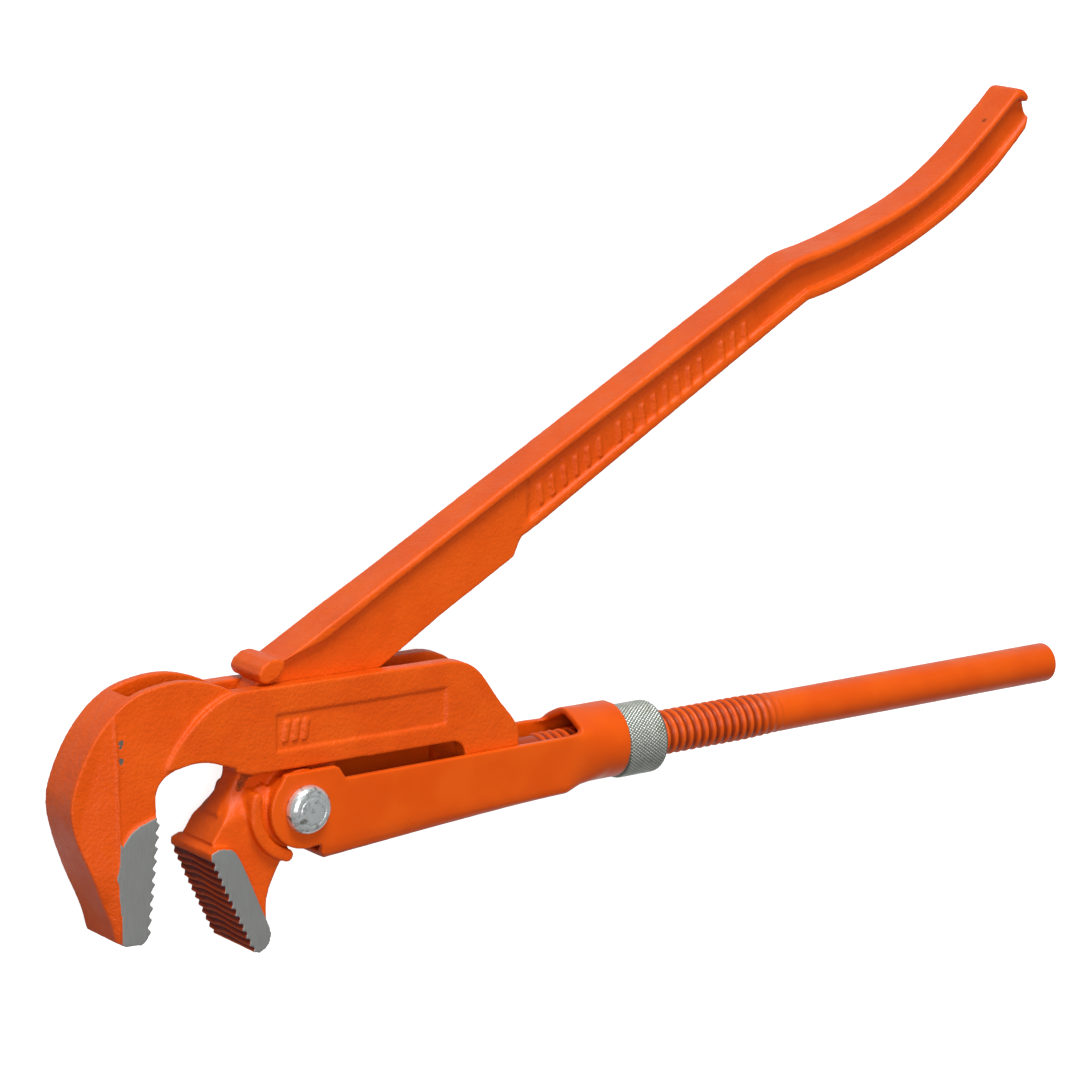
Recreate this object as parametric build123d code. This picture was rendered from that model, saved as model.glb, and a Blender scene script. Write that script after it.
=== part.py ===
from build123d import *
import math
import os

# Swedish-pattern 90 degree pipe wrench, nominal size 1 1/2 inch.  All lengths in mm.
# Z is the rivet axis, X the screw axis towards the free end of the rod, the rivet is at x = y = 0.
# Profiles are drawn in the plane of the tool, z = 0 being its middle plane, then lifted so that
# the flat of the lower rivet head lies on z = 0.

# ---- driving dimensions -------------------------------------------------------------------
ROD_Y = -1.0            # height of the screw axis over the rivet axis
ROD_R = 6.9             # bar of the second handle
ROD_END = 323.7
STUB_START = 66.0       # the bar's seat in the hook jaw's rear boss
THREAD_R, ROOT_R = 7.6, 6.5
PITCH = 3.25
THREAD_START, THREAD_END, THREAD_FADE = 97.0, 186.0, 204.0
RUN = 0.05              # radial running clearance
GAP = 0.3               # side clearance between sliding parts

SHEET = 2.5             # channel sheet
CHANNEL_HALF = 13.2     # half outside width of the channel
CHANNEL_TOP = 7.7
BOTTOM_FRONT, RISE = -18.4, 0.0635      # bottom of the channel: height at its front end, and slope
GABLE_TILT = 27.0       # of the channel's rolled-over top
GABLE_OUT, GABLE_FRONT_OUT = 12.8, 16.0     # its distance from the tube's axis, at the tube and before it
RING_STEP = 6           # degrees between the facets of the folded sheet's rounds
BEND_SHARPNESS = 10     # of the outside of the folds, 2 being a round and more being squarer
WEB_START, ROLL_START = 6.0, 103.0
TUBE_R, TUBE_Y = 12.9, 0.5
TUBE_START, TUBE_ROUND, TUBE_END = 109.3, 121.0, 128.5
EAR_R, EAR_TOP = 13.1, 12.2

CHEEK_HALF = CHANNEL_HALF - SHEET - 0.4
CHEEK_LOW = -8.6
ARCH_HALF = 8.3
SLOT_HALF = 5.0
HOOK_TOOTH_HALF, JAW_TOOTH_HALF = 11.5, 12.4      # half widths of the toothed faces
TOOTH_DEPTH = 1.5

NUT_R, NUT_LENGTH = 12.3, 16.2
NUT_NECK_R = 8.3
NUT_FLANGE_R, NUT_FLANGE_T = 8.7, 5.0

RIVET_R = 6.0
HEAD_R, HEAD_RIM, HEAD_H, HEAD_FLAT_R = 7.9, 1.0, 4.2, 5.2
TOOL_HALF = CHANNEL_HALF + HEAD_H       # middle plane to the flat of a rivet head

NECK_HALF = SLOT_HALF - GAP
BOSS_R = 12.2
BOSS_HALF = CHANNEL_HALF - SHEET - GAP
COLLAR_MID_R, COLLAR_WIDTH, COLLAR_HALF = 16.5, 4.2, 11.8
COLLAR_CENTRE = -1.2, 1.0
FLANK_HALF = 9.0
SWING = 18.0            # the lever's swing; its flanks stop short of the cheeks at the end of it
LUG_HALF = 8.8
FLANGE_HALF, FLANGE_T = 7.7, 3.8
RIB_HALF, RIB_T = 5.2, 3.6
WEB_HALF = 3.4

SPRING_T, SPRING_HALF = 0.8, 4.0
SPRING_RIVET_X, SPRING_RIVET_R, SPRING_HEAD_R, SPRING_HEAD_T = 25.0, 1.6, 2.9, 0.9

UPRIGHT = Align.CENTER, Align.CENTER, Align.MIN


def outline(points):
    return make_face(Polyline(*points, close=True))


def plate(shape, half, centre=0.0):
    """A flat solid, 2 * half thick about z = centre, of a face or of a list of corners."""
    face = outline(shape) if isinstance(shape, list) else shape
    return Pos(0, 0, centre) * extrude(face, half, both=True)


def teeth(start, end, count, lead):
    """Zigzag from root to root: each tip stands lead of the way along its pitch."""
    a, b = Vector(*start), Vector(*end)
    step = (b - a) / count
    out = step.normalized().rotate(Axis.Z, -90) * TOOTH_DEPTH
    points = []
    for i in range(count):
        points += [a + step * i, a + step * (i + lead) + out]
    return [(p.X, p.Y) for p in points + [b]]


def bar(radius, x0, x1, y=ROD_Y):
    """A round bar along X."""
    return Plane.YZ.offset(x0) * Pos(y, 0) * Cylinder(radius, x1 - x0, align=UPRIGHT)


# ---- hook jaw -----------------------------------------------------------------------------
hook_back = [(-24, 40.7), (-31, 43.9), (-38.5, 46.0), (-46, 46.5), (-52.5, 45.8), (-59.3, 44.1),
             (-65.3, 40.7), (-70.8, 35.8), (-76, 28.8), (-80, 20.8), (-82.3, 12.5), (-81.4, 4.0),
             (-78.7, -4), (-75.8, -11), (-72.6, -19), (-69.6, -26), (-68.2, -31.2)]
hook_teeth = teeth((-57.9, -33.4), (-54.0, 4.2), 10, 0.72)
throat = [(-53.1, 7.0), (-53.2, 11.4), (-51.6, 15.3), (-48.1, 17.9), (-44.0, 19.3), (-37, 19.9),
          (-31, 18.6)]
hook_face = make_face(Curve() + [
    Spline(*hook_back),
    Polyline(hook_back[-1], (-67.5, -33.3), (-65.2, -34.4), (-59.5, -34.7), hook_teeth[0]),
    Polyline(*hook_teeth), Line(hook_teeth[-1], throat[0]), Spline(*throat),
    Line(throat[-1], hook_back[0])])
arch = plate(hook_face, ARCH_HALF)

# Each side of the hook rises to a crease, flat from there to the throat and falling to the back.
# Rows: height, x of the back edge, x of the crease, half width at the crease.
hip_rows = [(39.0, -69.0, -66.8, ARCH_HALF), (-10.0, -84.0, -67.0, HOOK_TOOTH_HALF - 0.02),
            (-20.0, -73.0, -66.6, HOOK_TOOTH_HALF - 0.02), (-36.0, -67.6, -64.6, HOOK_TOOTH_HALF - 0.02)]
hip = loft([Plane.XZ.offset(-y) * outline([
    (back, ARCH_HALF), (crease, half), (-40, half), (-40, -half), (crease, -half), (back, -ARCH_HALF)])
    for y, back, crease, half in hip_rows], ruled=True)
ground_zone = outline([(-66.6, -40), (-66.6, -3.6), (-65.7, -1.3), (-63.4, 1.7), (-59.9, 3.9), (-54, 5.6),
                       (-48, 5.6), (-48, -40)])
tip = (plate(hook_face, HOOK_TOOTH_HALF) & hip) + plate(hook_face & ground_zone, HOOK_TOOTH_HALF)

# Two cheeks with the slot between them, joined at the rear by the boss for the rod.
cheek_front = [(-24, 40.7), (-33.7, 36.8), (-39.2, 32.6), (-44.7, 27.0), (-48.4, 21.8), (-49.6, 19.2)]
cheek_rear = [(55.0, 39.3), (60.5, 38.7), (64.6, 37.2), (68.2, 34.6), (71.2, 31.0), (77.0, 22.9),
              (81.5, 17.5), (83.6, 14.0), (84.4, 10.6)]
cheek_low = [(-16.5, 13.1), (-8.8, 13.0), (59.0, 12.2)]
lobe_front = [(59.0, 12.2), (61.8, 10.6), (63.0, 7.5)]
cheek_face = make_face(Curve() + [
    Spline(*cheek_front), Line(cheek_front[-1], throat[4]), Spline(*throat[4:]),
    Spline(throat[-1], (-27, 16.4), (-22.5, 14.3), cheek_low[0]), Polyline(*cheek_low), Spline(*lobe_front),
    Polyline(lobe_front[-1], (63.0, CHEEK_LOW), (84.4, CHEEK_LOW), cheek_rear[-1]),
    Spline(*cheek_rear), Line(cheek_rear[0], cheek_front[0])])
cheeks = plate(cheek_face, CHEEK_HALF)
cheeks = fillet(cheeks.edges().filter_by(Axis.X).group_by(Axis.Y)[0], 4.5)

slot = plate([(-60, 26.5), (-60, 60), (100, 60), (100, 14.5), (63, 14.5), (63, -20), (-49, -20),
              (-49, 26.5)], SLOT_HALF)
throat_room = make_face(Curve() + [
    Spline(*throat), Polyline(throat[-1], (-24, 16), (-24, -40), (-45, -40), throat[0])])
hook_jaw = arch + tip + cheeks - slot - plate(throat_room, HOOK_TOOTH_HALF + 1)
panel = [(-9.5, 31.6), (-9.5, 19.0), (55.8, 18.2), (55.8, 31.0)]
for side in (1, -1):
    hook_jaw -= plate(panel, 0.5, side * CHEEK_HALF)
hook_jaw -= bar(ROD_R, STUB_START, 90)

# ---- threaded rod: the second handle ------------------------------------------------------
threaded_rod = bar(ROD_R, STUB_START, ROD_END)
threaded_rod = chamfer(threaded_rod.edges().sort_by(Axis.X)[-1], 0.9)
threaded_rod += revolve(outline([
    (THREAD_START - 1, ROD_R - 0.1), (THREAD_START, THREAD_R), (THREAD_END, THREAD_R),
    (THREAD_FADE, ROD_R - 0.1)]).moved(Pos(0, ROD_Y)), Axis((0, ROD_Y, 0), (1, 0, 0)))
groove = revolve(outline([(-1.15, THREAD_R + 0.5), (-0.45, ROOT_R), (0.45, ROOT_R),
                          (1.15, THREAD_R + 0.5)]), Axis.X)
for i in range(int((THREAD_FADE - THREAD_START) / PITCH)):
    threaded_rod -= Pos(THREAD_START + PITCH * (i + 0.5), ROD_Y, 0) * groove

# ---- lever: handle, lug, neck, pivot boss and lower jaw in one forging --------------------------
neck = [(-28.0, 0.4), (-25.4, 4.6), (-22.5, 8.8), (-20.4, 12.4), (-18.0, 33.0), (-16.2, 37.2),
        (-13.6, 40.2), (-10, 46.0), (-4.0, 48.0), (91.5, 99.2), (91.2, 79.0), (88.9, 74.6), (85.5, 68.9),
        (56.8, 53.3), (31.6, 38.2), (13.0, 4.0), (6.0, -10.0), (-8.0, -12.0)]
lug = [(-14.9, 44.4), (-13.8, 42.0), (-11.4, 41.3), (-7.4, 42.8), (-5.0, 45.8), (-5.0, 47.9),
       (-7.6, 48.9), (-10.8, 48.6), (-13.6, 46.9)]
beam_top = [(-5.0, 47.4), (195.0, 155.3)]
beam_low = [(206.3, 142.1), (89.2, 75.2)]
grip_top = [beam_top[1], (200.6, 157.5), (208, 159.1), (215.6, 160.9), (234.1, 166.9), (249.1, 172.8),
            (262.4, 180.2), (272.3, 187.3), (281.1, 194.7), (289.1, 201.7), (295.6, 207.9)]
grip_low = [(302.0, 193.2), (294.2, 185.5), (285.8, 178.4), (272.0, 168.4), (253.0, 158.1),
            (234.0, 150.1), (218.2, 144.8), beam_low[0]]
beam_face = make_face(Curve() + [
    Line(*beam_top), Spline(*grip_top),
    Polyline(grip_top[-1], (298.4, 207.6), (300.8, 205.2), (301.8, 201.5), (303.0, 197.0), grip_low[0]),
    Spline(*grip_low), Line(*beam_low), Line(beam_low[-1], beam_top[0])])
flange_face = beam_face - Pos(0, -FLANGE_T) * beam_face
flange_face &= outline([(-6, 40), (-6, 60), (190, 220), (310, 220), (310, 212), (299.0, 202.0), (240, 155),
                        (180, 138), (-2, 42.5)])
rib_face = beam_face - Pos(0, RIB_T) * beam_face
rib_face &= outline([(89.0, 70), (91.0, 84), (200, 148), (240, 162), (300, 205), (310, 205), (310, 180),
                     (200, 120)])

jaw_teeth = teeth((-33.5, -12.6), (-19.3, -42.4), 11, 0.6)
jaw_back = [(-12.3, -38.0), (-12.5, -33.0), (-12.2, -28.5), (-11.0, -24.5), (-8.7, -19.8), (-6.0, -15.6)]
jaw_block = [(-31.8, -8.2), (-34.9, -9.4), (-35.0, -11.8)] + jaw_teeth + [
    (-19.4, -44.2), (-17.0, -44.7), (-14.6, -43.4), (-13.2, -41.4), (-12.9, -38.8), (-13.6, -36.4),
    (-17.2, -28.4), (-20.2, -21.4), (-23.8, -13.6), (-25.6, -10.6), (-27.6, -8.9)]
flank = make_face(Curve() + [
    Polyline((-31.5, -10.5), (-32.4, -7.2), (-29.6, -3.1), (-27.0, 0.2), (-24.4, 3.9), (-20.0, 7.0),
             (-12.0, 9.0), (0, -5), jaw_back[-1]),
    Spline(*reversed(jaw_back)), Polyline(jaw_back[0], (-17.0, -40.0), (-31.5, -10.5))])
shoulder = [(11.9, NECK_HALF), (11.6, 6.3), (7.0, FLANK_HALF), (-50, FLANK_HALF)]
flank_section = outline(shoulder + [(y, -z) for y, z in reversed(shoulder)])
flank_body = Rot(0, 0, SWING) * extrude(Plane.YZ * flank_section, 60, both=True) & plate(flank, FLANK_HALF)
lever = plate(neck, NECK_HALF) + flank_body + plate(jaw_block, JAW_TOOTH_HALF)
lever += plate(beam_face, WEB_HALF) + plate(flange_face, FLANGE_HALF) + plate(rib_face, RIB_HALF)
lever += plate(lug, LUG_HALF) + plate(Circle(BOSS_R), BOSS_HALF)

# Raised collar round the rim of each ear.
collar_arc = CenterArc(COLLAR_CENTRE, COLLAR_MID_R, 165, 88)
lever += plate(SlotArc(arc=collar_arc, height=COLLAR_WIDTH), COLLAR_HALF)
lever -= plate(Circle(RIVET_R + RUN), 20)


# ---- channel frame: folded sheet, two ears at the front, a rolled tube at the rear -----------------
def floor_y(x):
    """Height of the outside of the channel's bottom."""
    return BOTTOM_FRONT + RISE * (x - WEB_START)


def ring(x, gable_out, under, over, inset):
    """Section at x. under and over say how far it is rolled from the channel's flat walls, floor and
    gabled top (0) to the round of the tube (1), below and above the tube's axis."""
    walls = [(90, CHANNEL_HALF), (-90, CHANNEL_HALF), (180, TUBE_Y - floor_y(x)), (GABLE_TILT, gable_out),
             (-GABLE_TILT, gable_out)]
    sharpness = BEND_SHARPNESS + 6 * inset
    points = []
    for degrees in range(0, 360, RING_STEP):
        turn = math.radians(degrees)
        lean = [max(math.cos(turn - math.radians(facing)), 0) / (out - inset) for facing, out in walls]
        folded = sum(part ** sharpness for part in lean) ** (-1 / sharpness)
        rolled = under if 90 < degrees < 270 else over
        reach = folded + rolled * (TUBE_R - inset - folded)
        points.append((TUBE_Y + reach * math.cos(turn), reach * math.sin(turn)))
    return Plane.YZ.offset(x) * outline(points)


def shell(inset):
    """The channel and tube, filled, with every wall moved in by inset."""
    rows = [(WEB_START, GABLE_FRONT_OUT, 0, 0), (ROLL_START, GABLE_FRONT_OUT, 0, 0),
            (TUBE_START, GABLE_OUT, 0.5, 0.1), (TUBE_ROUND, GABLE_OUT, 1, 1)]
    folded = loft([ring(*row, inset) for row in rows], ruled=True)
    return folded + bar(TUBE_R - inset, TUBE_ROUND, TUBE_END - inset, TUBE_Y)


ear_face = Circle(EAR_R) + outline([(0, -EAR_R), (WEB_START + 0.5, -12.8), (15, -8), (15, CHANNEL_TOP),
                                    (12.7, 11.4), (11.2, EAR_TOP), (-7.6, EAR_TOP), (-9.6, 8.9), (0, 0)])
ear_face -= Pos(0, EAR_TOP + 5) * Rectangle(40, 10)
channel_frame = shell(0) - shell(SHEET)
channel_frame -= Pos(WEB_START - 30, CHANNEL_TOP, 0) * Box(
    30 + TUBE_START - WEB_START, 40, 60, align=(Align.MIN, Align.MIN, Align.CENTER))
for side in (1, -1):
    channel_frame += plate(ear_face, SHEET / 2, side * (CHANNEL_HALF - SHEET / 2))
channel_frame -= plate([(WEB_START - 1, -15.6), (WEB_START, -15.6), (WEB_START + 2.6, -19),
                        (WEB_START - 1, -19)], 20)
channel_frame -= bar(NUT_NECK_R + RUN, TUBE_START, TUBE_END)
seam = Pos(TUBE_START - 5, 15, 0) * Box(40, 20, 0.6, align=(Align.MIN, Align.CENTER, Align.CENTER))
channel_frame -= seam + plate(Circle(RIVET_R), 20)

# ---- pivot rivet --------------------------------------------------------------------------------
half_rivet = revolve(Plane.XZ * outline([
    (0, 0), (RIVET_R, 0), (RIVET_R, CHANNEL_HALF), (HEAD_R, CHANNEL_HALF),
    (HEAD_R, CHANNEL_HALF + HEAD_RIM), (HEAD_FLAT_R, TOOL_HALF), (0, TOOL_HALF)]), Axis.Z)
pivot_rivet = half_rivet + mirror(half_rivet, Plane.XY)

# ---- adjusting nut: its neck turns in the channel's lip, its flange stays inside the tube --------------
nut_x = TUBE_END + GAP
lip_x = TUBE_END - SHEET
adjusting_nut = chamfer(bar(NUT_R, nut_x, nut_x + NUT_LENGTH).edges().filter_by(GeomType.CIRCLE), 1.0)
adjusting_nut += bar(NUT_NECK_R, lip_x - 1, nut_x + 1)
adjusting_nut += bar(NUT_FLANGE_R, lip_x - GAP - NUT_FLANGE_T, lip_x - GAP)
adjusting_nut -= bar(THREAD_R + RUN, lip_x - 20, nut_x + 20)

# ---- anti-rattle spring, riveted to the channel's bottom under the hook jaw's rear boss --------------
spring_foot = [(19.0, floor_y(19) + SHEET), (31.0, floor_y(31) + SHEET)]
spring_curve = Spline(spring_foot[1], (44.0, -11.8), (57.0, -10.1), (66.0, -9.7), (73.0, -10.1),
                      tangents=[(1, 0.12), (1, -0.15)])
leaf_spring = Pos(0, 0.02, 0) * plate(make_face(Curve() + [
    Line(*spring_foot), spring_curve, Line(spring_curve @ 1, spring_curve @ 1 + (0, SPRING_T)),
    Pos(0, SPRING_T) * spring_curve,
    Polyline(Vector(*spring_foot[1]) + (0, SPRING_T), Vector(*spring_foot[0]) + (0, SPRING_T),
             spring_foot[0])]), SPRING_HALF)
rivet_seat = Pos(SPRING_RIVET_X, floor_y(SPRING_RIVET_X), 0) * Rot(0, 0, 4.1) * Rot(-90, 0, 0)
grip_length = SHEET + SPRING_T + 0.1
shank = rivet_seat * Cylinder(SPRING_RIVET_R, grip_length, align=UPRIGHT)
spring_rivet = shank + rivet_seat * Pos(0, 0, -SPRING_HEAD_T) * Cylinder(
    SPRING_HEAD_R, SPRING_HEAD_T, align=UPRIGHT)
spring_rivet += rivet_seat * Pos(0, 0, grip_length) * Cylinder(SPRING_HEAD_R, SPRING_HEAD_T, align=UPRIGHT)
leaf_spring -= rivet_seat * Cylinder(SPRING_RIVET_R, 20)
channel_frame -= rivet_seat * Cylinder(SPRING_RIVET_R, 20)

nodes = {
    "hook_jaw": hook_jaw, "threaded_rod": threaded_rod, "lever": lever, "channel_frame": channel_frame,
    "pivot_rivet": pivot_rivet, "adjusting_nut": adjusting_nut, "leaf_spring": leaf_spring,
    "spring_rivet": spring_rivet,
}
os.makedirs("parts", exist_ok=True)
for name, part in nodes.items():
    export_step(Pos(0, 0, TOOL_HALF) * part, f"parts/{name}.step")
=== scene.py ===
import math

import bmesh
import bpy
import numpy as np
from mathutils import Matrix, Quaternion, Vector, noise


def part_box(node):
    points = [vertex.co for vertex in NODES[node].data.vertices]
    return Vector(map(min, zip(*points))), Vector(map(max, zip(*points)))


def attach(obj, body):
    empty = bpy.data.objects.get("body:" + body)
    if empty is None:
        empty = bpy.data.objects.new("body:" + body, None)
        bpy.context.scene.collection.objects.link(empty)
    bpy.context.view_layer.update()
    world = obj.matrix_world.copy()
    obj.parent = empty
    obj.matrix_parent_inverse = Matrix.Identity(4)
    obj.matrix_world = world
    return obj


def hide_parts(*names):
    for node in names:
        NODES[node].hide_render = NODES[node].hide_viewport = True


# Looks of a Swedish-pattern pipe wrench: painted castings and sheet, a zinc-plated nut and rivet.
# Lengths of the tool are in millimetres from the rivet's axis and the tool's middle plane, and MM
# turns them into the frame's metres.

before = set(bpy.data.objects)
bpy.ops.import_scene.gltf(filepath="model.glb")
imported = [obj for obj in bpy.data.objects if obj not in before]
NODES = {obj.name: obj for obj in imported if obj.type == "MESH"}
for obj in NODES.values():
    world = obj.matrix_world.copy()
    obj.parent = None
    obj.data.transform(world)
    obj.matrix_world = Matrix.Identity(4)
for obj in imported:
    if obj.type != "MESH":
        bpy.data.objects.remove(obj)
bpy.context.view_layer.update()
MM = 0.001
MID_Z = sum(corner.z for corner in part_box("pivot_rivet")) / 2 / MM
ROD_Y = sum(corner.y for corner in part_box("threaded_rod")) / 2 / MM


# ---- meshes ---------------------------------------------------------------------------------
def place(points):
    """Millimetres about the tool's middle plane to metres in the frame."""
    return (np.asarray(points, float) + (0, 0, MID_Z)) * MM


def new_piece(name, mesh, body, node, material):
    piece = bpy.data.objects.new(name, mesh)
    bpy.context.scene.collection.objects.link(piece)
    mesh.materials.clear()
    mesh.materials.append(material)
    mesh.shade_smooth()
    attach(piece, body)
    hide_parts(node)


def evaluated(mesh, *modifiers):
    """The mesh after modifiers, each a type and its settings."""
    holder = bpy.data.objects.new("holder", mesh)
    bpy.context.scene.collection.objects.link(holder)
    for kind, settings in modifiers:
        modifier = holder.modifiers.new(kind, kind)
        for key, value in settings.items():
            setattr(modifier, key, value)
    graph = bpy.context.evaluated_depsgraph_get()
    result = bpy.data.meshes.new_from_object(holder.evaluated_get(graph))
    bpy.data.objects.remove(holder)
    return result


def cad_solid(node, additions=()):
    """A welded copy of a CAD node's mesh, with other closed meshes added to it."""
    shape = bmesh.new()
    shape.from_mesh(NODES[node].data)
    for mesh in additions:
        shape.from_mesh(mesh)
    bmesh.ops.remove_doubles(shape, verts=shape.verts, dist=1e-6)
    mesh = bpy.data.meshes.new(node + "_solid")
    shape.to_mesh(mesh)
    shape.free()
    return mesh


def prism(outline, low, high):
    """A closed solid over an outline, from z low to z high."""
    count = len(outline)
    points = [(x, y, z) for z in (low, high) for x, y in outline]
    faces = [tuple(reversed(range(count))), tuple(range(count, 2 * count))]
    faces += [(i, (i + 1) % count, (i + 1) % count + count, i + count) for i in range(count)]
    mesh = bpy.data.meshes.new("prism")
    mesh.from_pydata(place(points).tolist(), [], faces)
    return mesh


def coordinates(mesh):
    points = np.zeros(len(mesh.vertices) * 3)
    mesh.vertices.foreach_get("co", points)
    return points.reshape(-1, 3) / MM - (0, 0, MID_Z)


def set_coordinates(mesh, points):
    mesh.vertices.foreach_set("co", place(points).ravel())
    mesh.update()


def normals(mesh):
    values = np.zeros(len(mesh.vertices) * 3)
    mesh.vertices.foreach_get("normal", values)
    return values.reshape(-1, 3)


def relax(mesh, points, passes, weight):
    """Smooths the points along the mesh's edges, each by its own weight."""
    count = len(points)
    edges = np.zeros(len(mesh.edges) * 2, int)
    mesh.edges.foreach_get("vertices", edges)
    a, b = edges.reshape(-1, 2).T
    neighbours = np.maximum(np.bincount(a, minlength=count) + np.bincount(b, minlength=count), 1)
    for _ in range(passes):
        for k in range(3):
            total = np.bincount(a, points[b, k], count) + np.bincount(b, points[a, k], count)
            points[:, k] += weight * (total / neighbours - points[:, k])
    return points


def lumps(points, size, seed):
    """Soft noise from -1 to 1 at each point, with lumps of that size."""
    offset = Vector((seed * 17.3, seed * 5.1, seed * 9.7))
    return np.array([noise.noise(Vector(p) / size + offset) for p in points])


def fade(value, start, end):
    """0 before start, 1 after end, smooth in between; start may be above end."""
    t = np.clip((value - start) / (end - start), 0, 1)
    return t * t * (3 - 2 * t)


def thinned(mesh, faces):
    triangles = sum(len(p.vertices) - 2 for p in mesh.polygons)
    if triangles <= faces:
        return mesh
    return evaluated(mesh, ("DECIMATE", {"ratio": faces / triangles, "use_collapse_triangulate": True}))


def turned(rings, segments, shape=None, closed=False):
    """A lathed mesh from rings of (position along the axis, radius); shape changes the radii."""
    along, radius = np.array(rings, float).T
    angle = np.arange(segments) * 2 * math.pi / segments
    x = np.repeat(along[:, None], segments, 1)
    r = np.repeat(radius[:, None], segments, 1)
    turn = np.repeat(angle[None, :], len(along), 0)
    if shape:
        r = shape(x, r, turn)
    points = np.stack([x, r * np.cos(turn), r * np.sin(turn)], -1).reshape(-1, 3)
    faces = []
    for i in range(len(along) if closed else len(along) - 1):
        j = (i + 1) % len(along)
        for k in range(segments):
            n = (k + 1) % segments
            faces.append((i * segments + k, i * segments + n, j * segments + n, j * segments + k))
    if not closed:
        faces.append(tuple(reversed(range(segments))))
        faces.append(tuple(range((len(along) - 1) * segments, len(along) * segments)))
    return points, faces


def lathe_mesh(name, points, faces):
    mesh = bpy.data.meshes.new(name)
    mesh.from_pydata(place(points).tolist(), [], faces)
    shape = bmesh.new()
    shape.from_mesh(mesh)
    bmesh.ops.recalc_face_normals(shape, faces=shape.faces)
    shape.to_mesh(mesh)
    shape.free()
    return mesh


# ---- materials ------------------------------------------------------------------------------
class Shader:
    """A material's node tree, built one node at a time."""

    def __init__(self, name):
        self.material = bpy.data.materials.new(name)
        self.material.use_nodes = True
        self.tree = self.material.node_tree
        self.tree.nodes.clear()
        self.surface = self.add("ShaderNodeBsdfPrincipled")
        output = self.add("ShaderNodeOutputMaterial")
        self.tree.links.new(self.surface.outputs[0], output.inputs["Surface"])
        self.position = self.add("ShaderNodeTexCoord").outputs["Object"]

    def add(self, kind, **inputs):
        node = self.tree.nodes.new(kind)
        for key, value in inputs.items():
            self.feed(node.inputs[key], value)
        return node

    def feed(self, socket, value):
        if isinstance(value, bpy.types.NodeSocket):
            self.tree.links.new(value, socket)
        else:
            socket.default_value = value

    def math(self, operation, *values, clamp=False):
        node = self.add("ShaderNodeMath")
        node.operation, node.use_clamp = operation, clamp
        for socket, value in zip(node.inputs, values):
            self.feed(socket, value)
        return node.outputs[0]

    def vector(self, operation, *values):
        node = self.add("ShaderNodeVectorMath")
        node.operation = operation
        for socket, value in zip(node.inputs, values):
            self.feed(socket, value)
        gives_number = operation in ("DISTANCE", "DOT_PRODUCT", "LENGTH")
        return node.outputs["Value" if gives_number else "Vector"]

    def away_from(self, point):
        """The way here from a point that is given in millimetres."""
        return self.vector("SUBTRACT", self.position, tuple(place(point)))

    def length_along(self, vector, axes):
        """Length of a vector with only those of its axes that are 1, not 0."""
        return self.vector("LENGTH", self.vector("MULTIPLY", vector, axes))

    def noise(self, size_mm, detail=2.0, roughness=0.5, stretch=(1, 1, 1)):
        """Noise whose lumps are about size_mm across, and stretch times that along each axis."""
        mapped = self.vector("MULTIPLY", self.position, tuple(1 / s for s in stretch))
        node = self.add("ShaderNodeTexNoise", Vector=mapped, Scale=1000 / size_mm, Detail=detail,
                        Roughness=roughness)
        return node.outputs["Fac"]

    def ramp(self, value, low, high, to_low=0.0, to_high=1.0):
        node = self.add("ShaderNodeMapRange", **{
            "Value": value, "From Min": low, "From Max": high, "To Min": to_low, "To Max": to_high})
        node.interpolation_type = "SMOOTHSTEP"
        return node.outputs["Result"]

    def mix(self, factor, a, b, kind="RGBA"):
        """Between two colours, or with another kind two numbers (FLOAT) or normals (VECTOR)."""
        node = self.add("ShaderNodeMix")
        node.data_type = kind
        sockets = [socket for socket in node.inputs if socket.enabled]
        for socket, value in zip(sockets, (factor, a, b)):
            self.feed(socket, value)
        return next(socket for socket in node.outputs if socket.enabled)

    def bump(self, height, distance, strength=1.0, normal=None):
        node = self.add("ShaderNodeBump", Height=height, Distance=distance, Strength=strength)
        if normal is not None:
            self.feed(node.inputs["Normal"], normal)
        return node.outputs[0]

    def near(self, points, ragged):
        """1 within each (x, y, z, radius) spot in millimetres, with a ragged edge."""
        wobble = self.noise(1.1, 3.0, 0.6)
        found = 0.0
        for x, y, z, radius in points:
            away = self.vector("DISTANCE", self.position, tuple(place((x, y, z))))
            edge = self.math("MULTIPLY_ADD", wobble, -2 * ragged * radius * MM, (1 + ragged) * radius * MM)
            inside = self.ramp(self.math("SUBTRACT", edge, away), -0.00005, 0.00015)
            found = self.math("MAXIMUM", found, inside)
        return found


def rgb(*levels):
    """A colour from its 0 to 255 screen levels."""
    return tuple(x / 12.92 if x <= 0.04045 else ((x + 0.055) / 1.055) ** 2.4
                 for x in (level / 255 for level in levels)) + (1.0,)


ORANGE = rgb(228, 87, 8)
DEEP_ORANGE = rgb(222, 80, 4)
PALE_ORANGE = rgb(244, 128, 60)
BARE_STEEL = rgb(96, 92, 84)
GRIME = rgb(70, 48, 24)
# Painted shade: a dark red laid into the grooves between teeth and threads, where shade falls.
PAINTED_GROOVE_SHADE = rgb(108, 22, 5)
GROUND_DARK, GROUND_BRIGHT = rgb(141, 141, 139), rgb(147, 147, 144)
# Painted shade for the valleys of the nut's knurl.
KNURL_PAINTED_SHADE = rgb(112, 113, 102)
PAINT_SPECULAR = 0.25
GRIME_ROUGHNESS, GROUND_ROUGHNESS, GROUND_METALLIC = 0.85, 0.5, 0.35
CHIP_DEPTH, MARK_DEPTH = 0.05, 0.012        # of paint chips and grinding marks


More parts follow.
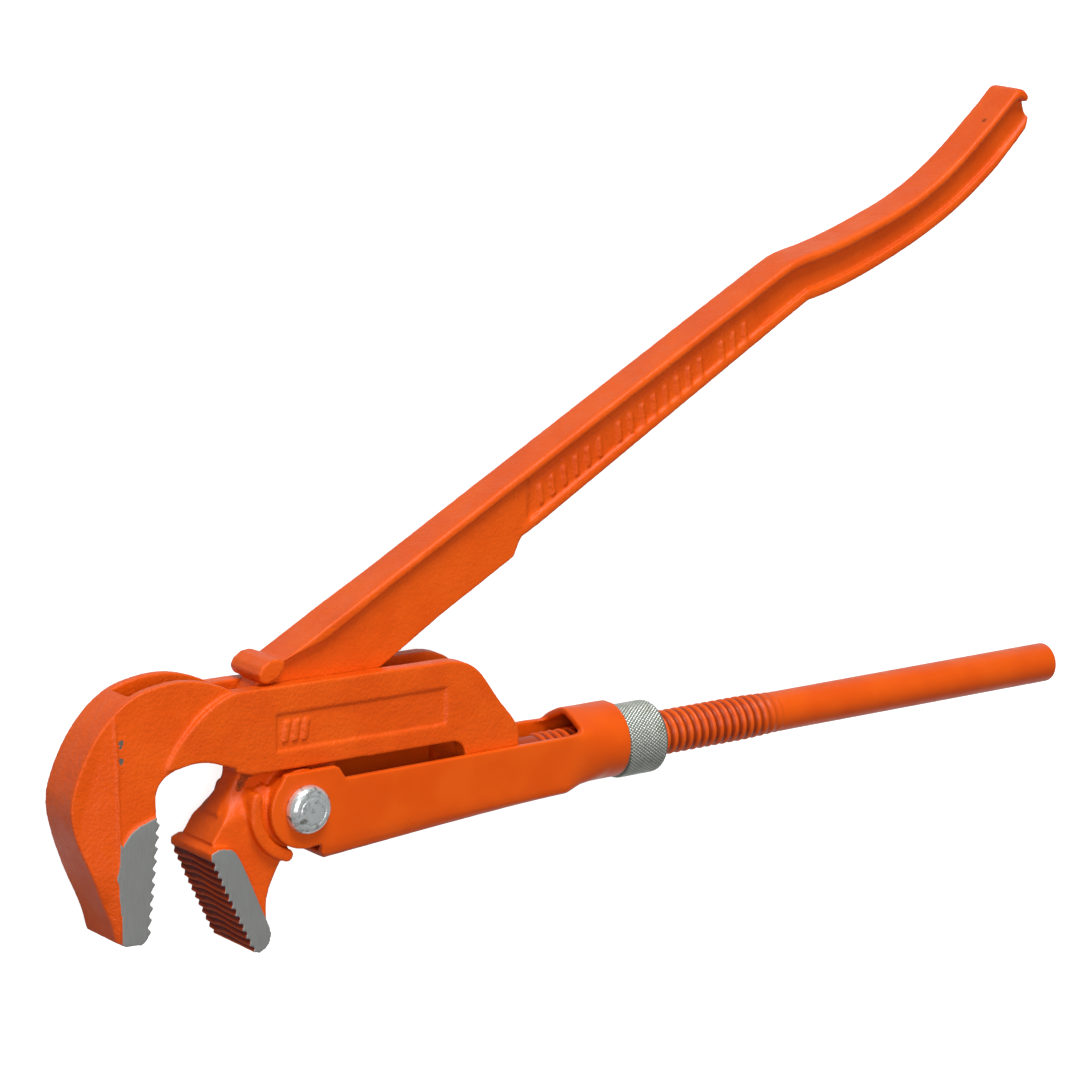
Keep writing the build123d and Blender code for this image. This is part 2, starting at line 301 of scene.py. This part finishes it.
def paint(name, grain, grain_size, roughness=0.4, chips=(), grime=(), ground=None, grooves=None):
    """Orange paint. grain and grain_size are the depth and size in millimetres of the skin under it.
    chips and grime are spots for near(), ground gives the mask of faces ground bare after painting,
    and grooves that of the painted shade darkening the grooves between teeth or threads."""
    s = Shader(name)
    tone = s.mix(s.ramp(s.noise(18, 3.0), 0.35, 0.65), DEEP_ORANGE, ORANGE)
    scuffs = s.math("MULTIPLY", s.ramp(s.noise(0.8, 4.0, 0.7, (1, 9, 1)), 0.66, 0.76),
                    s.ramp(s.noise(16, 2.0), 0.56, 0.70))
    tone = s.mix(s.math("MULTIPLY", scuffs, 0.7), tone, PALE_ORANGE)
    specks = s.ramp(s.noise(0.7, 2.0, 0.5), 0.76, 0.80)
    tone = s.mix(s.math("MULTIPLY", specks, 0.6), tone, GRIME)
    gloss = s.ramp(s.noise(6, 3.0), 0.3, 0.7, roughness - 0.04, roughness + 0.06)
    skin = s.bump(s.noise(grain_size, 3.0, 0.6), grain * MM, 1.0)
    skin = s.bump(s.noise(grain_size * 6, 2.0, 0.5), grain * MM, 1.0, skin)
    metallic = 0.0
    if grooves is not None:
        # painted shade: the grooves between teeth or threads are darkened
        tone = s.mix(grooves(s), tone, PAINTED_GROOVE_SHADE)
    if grime:
        mask = s.near(grime, 0.5)
        patches = s.ramp(s.noise(0.8, 4.0, 0.7), 0.25, 0.70, 0.25, 0.85)
        tone = s.mix(s.math("MULTIPLY", mask, patches), tone, GRIME)
        gloss = s.mix(mask, gloss, GRIME_ROUGHNESS, "FLOAT")
    if chips:
        mask = s.near(chips, 0.7)
        tone = s.mix(mask, tone, BARE_STEEL)
        skin = s.bump(mask, -CHIP_DEPTH * MM, 1.0, skin)
    if ground is not None:
        mask = ground(s)
        marks = s.noise(0.5, 3.0, 0.6, (1.0, 12.0, 1.0))
        steel = s.mix(s.ramp(marks, 0.3, 0.7), GROUND_DARK, GROUND_BRIGHT)
        tone = s.mix(mask, tone, steel)
        gloss = s.mix(mask, gloss, GROUND_ROUGHNESS, "FLOAT")
        metallic = s.math("MULTIPLY", mask, GROUND_METALLIC)
        skin = s.mix(mask, skin, s.bump(marks, MARK_DEPTH * MM, 0.5), "VECTOR")
    settings = {"Base Color": tone, "Roughness": gloss, "Normal": skin, "Metallic": metallic}
    for key, value in settings.items():
        s.feed(s.surface.inputs[key], value)
    s.surface.inputs["Specular IOR Level"].default_value = PAINT_SPECULAR
    return s.material


def ground_sides(half, beyond):
    """Mask of the ground sides: half away from the middle plane and more than beyond from the rivet."""
    def mask(s):
        z = s.add("ShaderNodeSeparateXYZ", Vector=s.position).outputs["Z"]
        out = s.math("ABSOLUTE", s.math("SUBTRACT", z, MID_Z * MM))
        side = s.ramp(out, (half - 0.14) * MM, (half - 0.09) * MM)
        far = s.math("GREATER_THAN", s.length_along(s.position, (1, 1, 0)), beyond * MM)
        return s.math("MULTIPLY", side, far)
    return mask


def tooth_groove_shade(middle, out, reach):
    """Mask of the painted shade in the grooves within reach of the middle of a row of teeth: full at
    the roots, none at the tips."""
    def mask(s):
        away = s.away_from((*middle, 0))
        height = s.vector("DOT_PRODUCT", away, (*out, 0))
        below_tips = s.ramp(height, 0.3 * TOOTH_DEPTH * MM, TOOTH_DEPTH * MM, 1, 0)
        above_body = s.ramp(height, -0.9 * MM, -0.5 * MM)
        within = s.ramp(s.length_along(away, (1, 1, 0)), (reach - 1) * MM, reach * MM, 1, 0)
        return s.math("MULTIPLY", s.math("MULTIPLY", below_tips, above_body), within)
    return mask


def thread_root_shade(s):
    """Mask of the painted shade in the thread's valleys."""
    away = s.away_from((THREAD_END, ROD_Y, 0))
    across = s.length_along(away, (0, 1, 1))
    along = s.add("ShaderNodeSeparateXYZ", Vector=away).outputs["X"]
    valleys = s.ramp(across, ROOT_R * MM, (CREST_R - 0.25) * MM, 0.75, 0)
    return s.math("MULTIPLY", valleys, s.ramp(along, 0, 14 * MM, 1, 0))


def zinc(name, roughness, bright, dark, stain_size, stained, metallic=1.0, crests=None):
    """Zinc plate, dulled in patches, with painted shade below crests, a pair of radii about the screw axis.
    """
    s = Shader(name)
    tone = s.mix(s.ramp(s.noise(stain_size, 4.0, 0.65), 0.5 - stained, 0.75 - stained), bright, dark)
    if crests is not None:
        across = s.length_along(s.away_from((0, ROD_Y, 0)), (0, 1, 1))
        # painted shade: darker in the knurl's valleys, below the crests
        tone = s.mix(s.ramp(across, crests[0] * MM, crests[1] * MM), KNURL_PAINTED_SHADE, tone)
    s.feed(s.surface.inputs["Base Color"], tone)
    s.feed(s.surface.inputs["Roughness"], s.ramp(s.noise(1.5, 3.0), 0.3, 0.7, roughness, roughness + 0.12))
    s.feed(s.surface.inputs["Normal"], s.bump(s.noise(0.5, 3.0), 0.01 * MM))
    s.surface.inputs["Metallic"].default_value = metallic
    return s.material


HOOK_GROUND, LEVER_GROUND = 11.5, 12.4      # half widths over the ground sides of the toothed ends
TOOTH_DEPTH = 1.7
# Each row of teeth: the middle of its roots, and the way that the teeth point.
HOOK_TEETH = (-56.0, -14.6), (0.9946, -0.1032)
JAW_TEETH = (-26.4, -27.5), (-0.9027, -0.4302)
NUT_R, KNURL_DEPTH = 12.3, 0.42
ROD_R, CREST_R, ROOT_R, PITCH = 6.9, 7.6, 6.7, 3.25
THREAD_START, THREAD_END, THREAD_FADE = 97.0, 186.0, 204.0

hook_paint = paint("hook_paint", 0.30, 1.1, chips=[
    (-64.9, 30.5, 9.0, 0.9), (-65.2, 29.2, 9.0, 0.6), (-65.0, 25.0, 9.3, 0.8), (-65.2, 24.0, 9.3, 0.5),
    (-38.5, 44.5, 7.5, 0.7), (-27.5, 40.6, 7.0, 0.7)], ground=ground_sides(HOOK_GROUND, 30),
    grooves=tooth_groove_shade(*HOOK_TEETH, 20))
lever_paint = paint("lever_paint", 0.24, 1.1, grime=[
    (-17.8, 11.4, 4.7, 1.6), (-19.0, 9.6, 4.8, 1.5), (-20.2, 8.0, 5.2, 1.1), (-15.6, 12.0, 5.0, 1.2),
    (284.0, 197.5, 3.0, 1.0)],
    chips=[(-7.0, 42.0, 4.7, 0.6), (-24.5, -13.0, LEVER_GROUND, 0.5)],
    ground=ground_sides(LEVER_GROUND, 20), grooves=tooth_groove_shade(*JAW_TEETH, 18))
sheet_paint = paint("sheet_paint", 0.010, 1.6, roughness=0.34)
rod_paint = paint("rod_paint", 0.012, 1.2, roughness=0.36, grooves=thread_root_shade)
# The nut's knurl valleys get painted shade.
nut_zinc = zinc("nut_zinc", 0.33, rgb(202, 205, 198), rgb(174, 176, 164), 5, 0.05, 0.65,
                (NUT_R - KNURL_DEPTH, NUT_R - 0.1))
rivet_zinc = zinc("rivet_zinc", 0.2, rgb(236, 240, 240), rgb(112, 110, 98), 2.6, 0.02, 0.72)
spring_steel = zinc("spring_steel", 0.35, rgb(70, 74, 84), rgb(44, 44, 50), 6, 0.1)


# ---- castings: hook jaw and lever -----------------------------------------------------------
FACES = 190_000             # most triangles in a piece
CAST_VOXEL, SHEET_VOXEL = 0.45, 0.5
LUMP = 0.05                 # height of the castings' unevenness
TOOTH_WAVER = 0.9


def remeshed(mesh, voxel):
    return evaluated(mesh, ("REMESH", {"mode": "VOXEL", "voxel_size": voxel * MM}))


def cast(node, ground_half, additions, detail, soften=None):
    """A CAD node as a casting or forging: fine even mesh, rounded edges, uneven skin. The additions
    join it, detail moves its points, given their normals, and soften gives more smoothing, as passes
    and weights."""
    mesh = remeshed(cad_solid(node, additions), CAST_VOXEL)
    points = coordinates(mesh)
    flat_side = np.abs(points[:, 2]) > ground_half - 0.1
    points = relax(mesh, points, 3, np.where(flat_side, 0.0, 0.5))
    if soften is not None:
        for passes, weight in soften(points):
            points = relax(mesh, points, passes, 0.5 * weight)
    set_coordinates(mesh, points)
    away = normals(mesh)
    skin = LUMP * (lumps(points, 2.2, 1) + 0.7 * lumps(points, 6.5, 2))
    points += away * np.where(flat_side, 0, skin)[:, None]
    points = detail(points, away)
    low, high = (np.array(corner) / MM - (0, 0, MID_Z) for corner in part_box(node))
    set_coordinates(mesh, np.clip(points, low, high))
    return thinned(mesh, FACES)


def both_sides(outline, low, high):
    """Prisms on the two sides of the tool, from low to high off its middle plane."""
    return [prism(outline, low, high), prism(outline, -high, -low)]


def rib(centre, along, across, low, high):
    """A raised bar from a centre and two half extents."""
    centre, along, across = (np.array(v, float) for v in (centre, along, across))
    return both_sides([centre + along + across, centre - along + across, centre - along - across,
                       centre + along - across], low, high)


PARTING_X, PARTING_HEIGHT, PARTING_WIDTH = -66.8, 0.9, 0.45
BLOB_Y, BLOB_HEIGHT, BLOB_WIDTH, BLOB_LENGTH = -12.0, 0.5, 1.5, 1.2
CHEEK_HALF, PANEL_DEPTH, PANEL_SINK = 10.3, 0.5, 0.3
PANEL_FRONT, PANEL_REAR, PANEL_LOW, PANEL_TOP = -9.0, 55.3, 19.5, 31.1
PANEL_LOW_FALL, PANEL_TOP_FALL = 0.0123, 0.0092     # slopes of the panel's lower and upper walls


def hook_details(points, away):
    """The raised parting line down the flank of the hook, a blob of flash on it, and a deeper floor
    in the cheek's panel, between its walls."""
    x, y, z = points.T
    out = np.abs(z)
    line = PARTING_X + 0.35 * lumps(np.stack([x * 0, y, z * 0], -1), 9, 5)
    height = PARTING_HEIGHT * np.exp(-((x - line) / PARTING_WIDTH) ** 2)
    height *= fade(y, 40, 36) * fade(y, -33.5, -30) * (0.65 + 0.35 * lumps(points, 3.0, 6))
    blob = ((x - line) / BLOB_WIDTH) ** 2 + ((y - BLOB_Y) / BLOB_LENGTH) ** 2
    height += BLOB_HEIGHT * np.exp(-blob)
    side = (np.abs(away[:, 2]) > 0.75) & (out < HOOK_GROUND - 0.1) & (out > 6)
    points[:, 2] += np.sign(z) * np.where(side, height, 0)
    along = x - PANEL_FRONT
    panel = (along > 0) & (x < PANEL_REAR)
    panel &= (y > PANEL_LOW - PANEL_LOW_FALL * along) & (y < PANEL_TOP - PANEL_TOP_FALL * along)
    panel &= (out > CHEEK_HALF - 0.75) & (out < CHEEK_HALF - 0.35)
    points[:, 2] -= np.sign(z) * np.where(panel, PANEL_SINK, 0)
    return points


def lever_details(points, _):
    """The jaw's teeth waver across its width."""
    z = points[:, 2]
    middle, out = np.array(JAW_TEETH)
    from_middle = points[:, :2] - middle
    weight = fade(from_middle @ out, -2.0, -1.0) * fade(np.hypot(*from_middle.T), 18, 15.5)
    weight *= fade(np.abs(z), LEVER_GROUND - 0.2, LEVER_GROUND - 5)
    waver = TOOTH_WAVER * lumps(np.stack([z, z * 0, z * 0], -1), 7.0, 8) * weight
    points[:, 0] -= out[1] * waver
    points[:, 1] += out[0] * waver
    return points


def lever_soften(points):
    """Passes and weights: the handle's flanges, the lug and the neck are rounder than other edges."""
    x, y, z = points.T
    handle = fade(x + y, 75, 110) * np.maximum(fade(np.abs(z), 4.6, 5.4), fade(x, 288, 294))
    lug = 0.1 * fade(np.hypot(x + 9.8, y - 45.4), 8.5, 6.5)
    shoulder = 0.8 * fade(np.hypot(x + 22.5, y - 4.5), 8.5, 5.5)
    neck_step = 0.8 * fade(np.hypot(x + 23.5, y - 7.5), 6.0, 3.5)
    web_step = 0.9 * fade(np.abs(x - 90.5), 5, 2) * fade(np.abs(z), 5.2, 4.9)
    return (24, np.maximum.reduce([handle, lug, shoulder, web_step])), (40, neck_step)


# Plain raised marks stand where the maker's would be: ribs on the handle's web and bars on the cheeks.
HANDLE = np.array((0.8801, 0.4748))     # direction of the handle's straight part
CROSS = np.array((-HANDLE[1], HANDLE[0]))
WEB_HALF, PAD_HALF, MARK_HALF = 3.4, 3.9, 4.8
PAD_START = np.array((93.0, 86.6))
PAD_LENGTH, PAD_WIDE = 106.0, 5.0
pad = [PAD_START + HANDLE * u + CROSS * v for u, v in (
    (0, -PAD_WIDE), (PAD_LENGTH, -PAD_WIDE), (PAD_LENGTH, PAD_WIDE), (0, PAD_WIDE))]
web_marks = both_sides(pad, WEB_HALF - 1, PAD_HALF)
for group_start, ribs in ((4.0, 6), (40.0, 8), (88.0, 3)):
    for i in range(ribs):
        web_marks += rib(PAD_START + HANDLE * (group_start + 5.4 * i), 3.0 * CROSS + 1.1 * HANDLE,
                         0.65 * HANDLE, PAD_HALF - 1, MARK_HALF)
cheek_marks = []
for x in (-5.4, -1.8, 1.8):
    cheek_marks += rib((x, 25.2), (0.5, 3.2), (0.7, 0), CHEEK_HALF - PANEL_DEPTH - 1, CHEEK_HALF)

hook_mesh = cast("hook_jaw", HOOK_GROUND, cheek_marks, hook_details)
new_piece("hook_jaw_casting", hook_mesh, "hook", "hook_jaw", hook_paint)
lever_mesh = cast("lever", LEVER_GROUND, web_marks, lever_details, lever_soften)
new_piece("lever_forging", lever_mesh, "lever", "lever", lever_paint)


# ---- channel --------------------------------------------------------------------------------
channel_mesh = remeshed(cad_solid("channel_frame"), SHEET_VOXEL)
set_coordinates(channel_mesh, relax(channel_mesh, coordinates(channel_mesh), 3, 0.5))
new_piece("channel_sheet", thinned(channel_mesh, FACES), "channel", "channel_frame",
          sheet_paint)

# ---- rod ------------------------------------------------------------------------------------
FINE_STEP = 0.22            # between the rings of thread and knurl
AXIS_R, ROD_ROUND = 0.05, 1.2       # the smallest ring, and the rounding of the rod's end
rod_low, rod_high = (corner.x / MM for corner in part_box("threaded_rod"))


def thread(x, r, turn):
    """Rounded right-hand thread, fading out at its end."""
    phase = x / PITCH - turn / (2 * math.pi)
    wave = (0.5 - 0.5 * np.cos(2 * math.pi * phase)) ** 1.3
    rise = fade(x, THREAD_START - 1, THREAD_START + 1.5) * fade(x, THREAD_FADE, THREAD_END - 4)
    return np.where(x < rod_high - 2, r + rise * (ROOT_R - ROD_R + wave * (CREST_R - ROOT_R)), r)


rod_rings = [(rod_low, AXIS_R), (rod_low, ROD_R)]
rod_rings += [(x, ROD_R) for x in np.arange(THREAD_START - 1.5, THREAD_FADE + 1, FINE_STEP)]
rod_rings += [(rod_high - ROD_ROUND + ROD_ROUND * math.sin(a), ROD_R - ROD_ROUND + ROD_ROUND * math.cos(a))
              for a in np.linspace(0, math.pi / 2, 7)]
rod_rings += [(rod_high, AXIS_R)]
rod_points, rod_faces = turned(rod_rings, 72, thread)
new_piece("rod_handle", lathe_mesh("rod", rod_points + (0, ROD_Y, 0), rod_faces),
          "hook", "threaded_rod", rod_paint)

# ---- nut ------------------------------------------------------------------------------------
nut_low, nut_high = (corner.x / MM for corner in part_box("adjusting_nut"))
NUT_LENGTH, NUT_NECK_R, NUT_FLANGE_R, NUT_FLANGE_T, BORE_R = 16.2, 8.3, 8.7, 5.0, 7.65
KNURL_TEETH, KNURL_LEAD = 64, 1.55
knurl_start = nut_high - NUT_LENGTH


def knurl(x, r, turn):
    """Diamond knurl: two crossing sets of grooves."""
    count = KNURL_TEETH * turn / (2 * math.pi)
    ridges = [np.abs(((count + sign * (x - knurl_start) / KNURL_LEAD) % 1) - 0.5) * 2 for sign in (1, -1)]
    depth = KNURL_DEPTH * np.clip(1 - np.minimum(*ridges) * 1.6, 0, 1)
    where = (r > NUT_R - 0.6) & (x > knurl_start + 0.4) & (x < nut_high - 0.4)
    return np.where(where, r - depth, r)


nut_rings = [(nut_low, BORE_R), (nut_low, NUT_FLANGE_R - 0.3), (nut_low + 0.3, NUT_FLANGE_R),
             (nut_low + NUT_FLANGE_T, NUT_FLANGE_R), (nut_low + NUT_FLANGE_T, NUT_NECK_R),
             (knurl_start, NUT_NECK_R), (knurl_start, NUT_R - 1.3), (knurl_start + 0.3, NUT_R - 0.7)]
nut_rings += [(x, min(NUT_R, NUT_R - 0.7 + (min(x - knurl_start, nut_high - x) - 0.3)))
              for x in np.arange(knurl_start + 0.5, nut_high - 0.4, FINE_STEP)]
nut_rings += [(nut_high - 0.3, NUT_R - 0.7), (nut_high, NUT_R - 1.3), (nut_high, BORE_R + 0.6),
              (nut_high - 0.6, BORE_R)]
nut_points, nut_faces = turned(nut_rings, KNURL_TEETH * 5, knurl, closed=True)
new_piece("knurled_nut", lathe_mesh("nut", nut_points + (0, ROD_Y, 0), nut_faces),
          "nut", "adjusting_nut", nut_zinc)

# ---- rivet ----------------------------------------------------------------------------------
HEAD_R, EAR_HALF, RIVET_R = 7.9, 13.2, 6.0
FLAT_R, RIM_H, SHOULDER_H, CROWN_H = 5.0, 0.9, 3.85, 4.15
GROOVE_R, GROOVE_DEPTH, GROOVE_WIDTH = FLAT_R - 0.35, 0.22, 0.22      # round the crown
head_rings = [(EAR_HALF, HEAD_R - 0.15), (EAR_HALF + 0.3, HEAD_R), (EAR_HALF + RIM_H, HEAD_R)]
for turn in np.linspace(0.1, 1, 12):
    reach = FLAT_R + (HEAD_R - FLAT_R) * math.cos(turn * math.pi / 2)
    head_rings.append((EAR_HALF + RIM_H + (SHOULDER_H - RIM_H) * math.sin(turn * math.pi / 2), reach))
for reach in np.linspace(FLAT_R - 0.1, 0.1, 20):
    groove = GROOVE_DEPTH * math.exp(-((reach - GROOVE_R) / GROOVE_WIDTH) ** 2)
    head_rings.append((EAR_HALF + CROWN_H - (CROWN_H - SHOULDER_H) * (reach / FLAT_R) ** 2 - groove, reach))
rivet_rings = [(-z, r) for z, r in reversed(head_rings)]
rivet_rings += [(-EAR_HALF, RIVET_R), (EAR_HALF, RIVET_R)] + head_rings
rivet_points, rivet_faces = turned(rivet_rings, 72)
rivet_points = rivet_points[:, [1, 2, 0]]       # its axis is Z
new_piece("rivet_domed", lathe_mesh("rivet", rivet_points, rivet_faces),
          "channel", "pivot_rivet", rivet_zinc)

for node in ("leaf_spring", "spring_rivet"):
    for slot in NODES[node].material_slots:
        slot.material = spring_steel if node == "leaf_spring" else rivet_zinc

# ---- floor, light and camera ------------------------------------------------------------------
FLOOR_HALF = 6.0            # lengths from here on are in metres


def stage_sheet(name, points, faces, grey, glow, roughness=0.5, specular=0.5):
    """A flat glowing piece of the studio."""
    mesh = bpy.data.meshes.new(name)
    mesh.from_pydata(points, [], faces)
    sheet = bpy.data.objects.new(name, mesh)
    bpy.context.scene.collection.objects.link(sheet)
    shader = Shader("pale_" + name)
    for key, value in {"Base Color": (grey, grey, grey, 1), "Roughness": roughness,
                       "Specular IOR Level": specular, "Emission Color": (1, 1, 1, 1),
                       "Emission Strength": glow}.items():
        shader.surface.inputs[key].default_value = value
    mesh.materials.append(shader.material)
    return sheet


corners = [(-FLOOR_HALF, -FLOOR_HALF), (FLOOR_HALF, -FLOOR_HALF), (FLOOR_HALF, FLOOR_HALF),
           (-FLOOR_HALF, FLOOR_HALF)]
floor = stage_sheet("floor", [(x, y, 0) for x, y in corners], [(0, 1, 2, 3)], 0.6, 0.85, roughness=0.9)
floor.visible_diffuse = floor.visible_glossy = False        # white, but no light from below

# A pale card on the floor, seen only as a soft reflection in the paint, with a gap around the jaws.
GAP_LOW, GAP_HIGH = (-0.075, -0.12), (0.10, 0.03)
gap = [GAP_LOW, (GAP_HIGH[0], GAP_LOW[1]), GAP_HIGH, (GAP_LOW[0], GAP_HIGH[1])]
card = stage_sheet("card", [(x, y, 0.0005) for x, y in corners + gap],
                   [(i, (i + 1) % 4, (i + 1) % 4 + 4, i + 4) for i in range(4)], 0, 0.75, specular=0)
card.visible_camera = card.visible_diffuse = card.visible_shadow = card.visible_transmission = False

world = bpy.data.worlds.new("studio")
bpy.context.scene.world = world
world.use_nodes = True
background = world.node_tree.nodes["Background"]
background.inputs["Color"].default_value = (1, 1, 1, 1)
background.inputs["Strength"].default_value = 0.2


def softbox(name, position, size, power, colour=(1, 1, 1)):
    """A square lamp that points at the middle of the tool."""
    data = bpy.data.lights.new(name, "AREA")
    data.shape, data.size, data.energy, data.color = "SQUARE", size, power, colour
    lamp = bpy.data.objects.new(name, data)
    bpy.context.scene.collection.objects.link(lamp)
    lamp.location = position
    lamp.rotation_mode = "QUATERNION"
    lamp.rotation_quaternion = (TOOL_MIDDLE - Vector(position)).to_track_quat("-Z", "Y")


TOOL_MIDDLE = Vector((0.1, 0.06, 0.02))
softbox("top_light", (-0.23, 2.0, 1.01), 1.0, 46, (0.94, 1.0, 1.0))
softbox("camera_light", (-0.89, 0.39, 1.96), 1.2, 23)

# The camera stands off from its aim by azimuth and elevation, in degrees, then rolls.
AIM, DISTANCE = Vector((0.0994, 0.0720, 0.0174)), 1.471
AZIMUTH, ELEVATION, ROLL = (math.radians(degrees) for degrees in (158.747, 52.079, 107.638))
camera_data = bpy.data.cameras.new("camera")
camera = bpy.data.objects.new("camera", camera_data)
bpy.context.scene.collection.objects.link(camera)
bpy.context.scene.camera = camera
camera_data.sensor_width, camera_data.lens = 36.0, 150.0
camera_data.clip_start, camera_data.clip_end = 0.1, 20.0
back = Vector((math.cos(ELEVATION) * math.cos(AZIMUTH), math.cos(ELEVATION) * math.sin(AZIMUTH),
               math.sin(ELEVATION)))
camera.location = AIM + DISTANCE * back
camera.rotation_mode = "QUATERNION"
camera.rotation_quaternion = back.to_track_quat("Z", "Y") @ Quaternion((0, 0, 1), ROLL)

bpy.context.scene.view_settings.view_transform = "Standard"
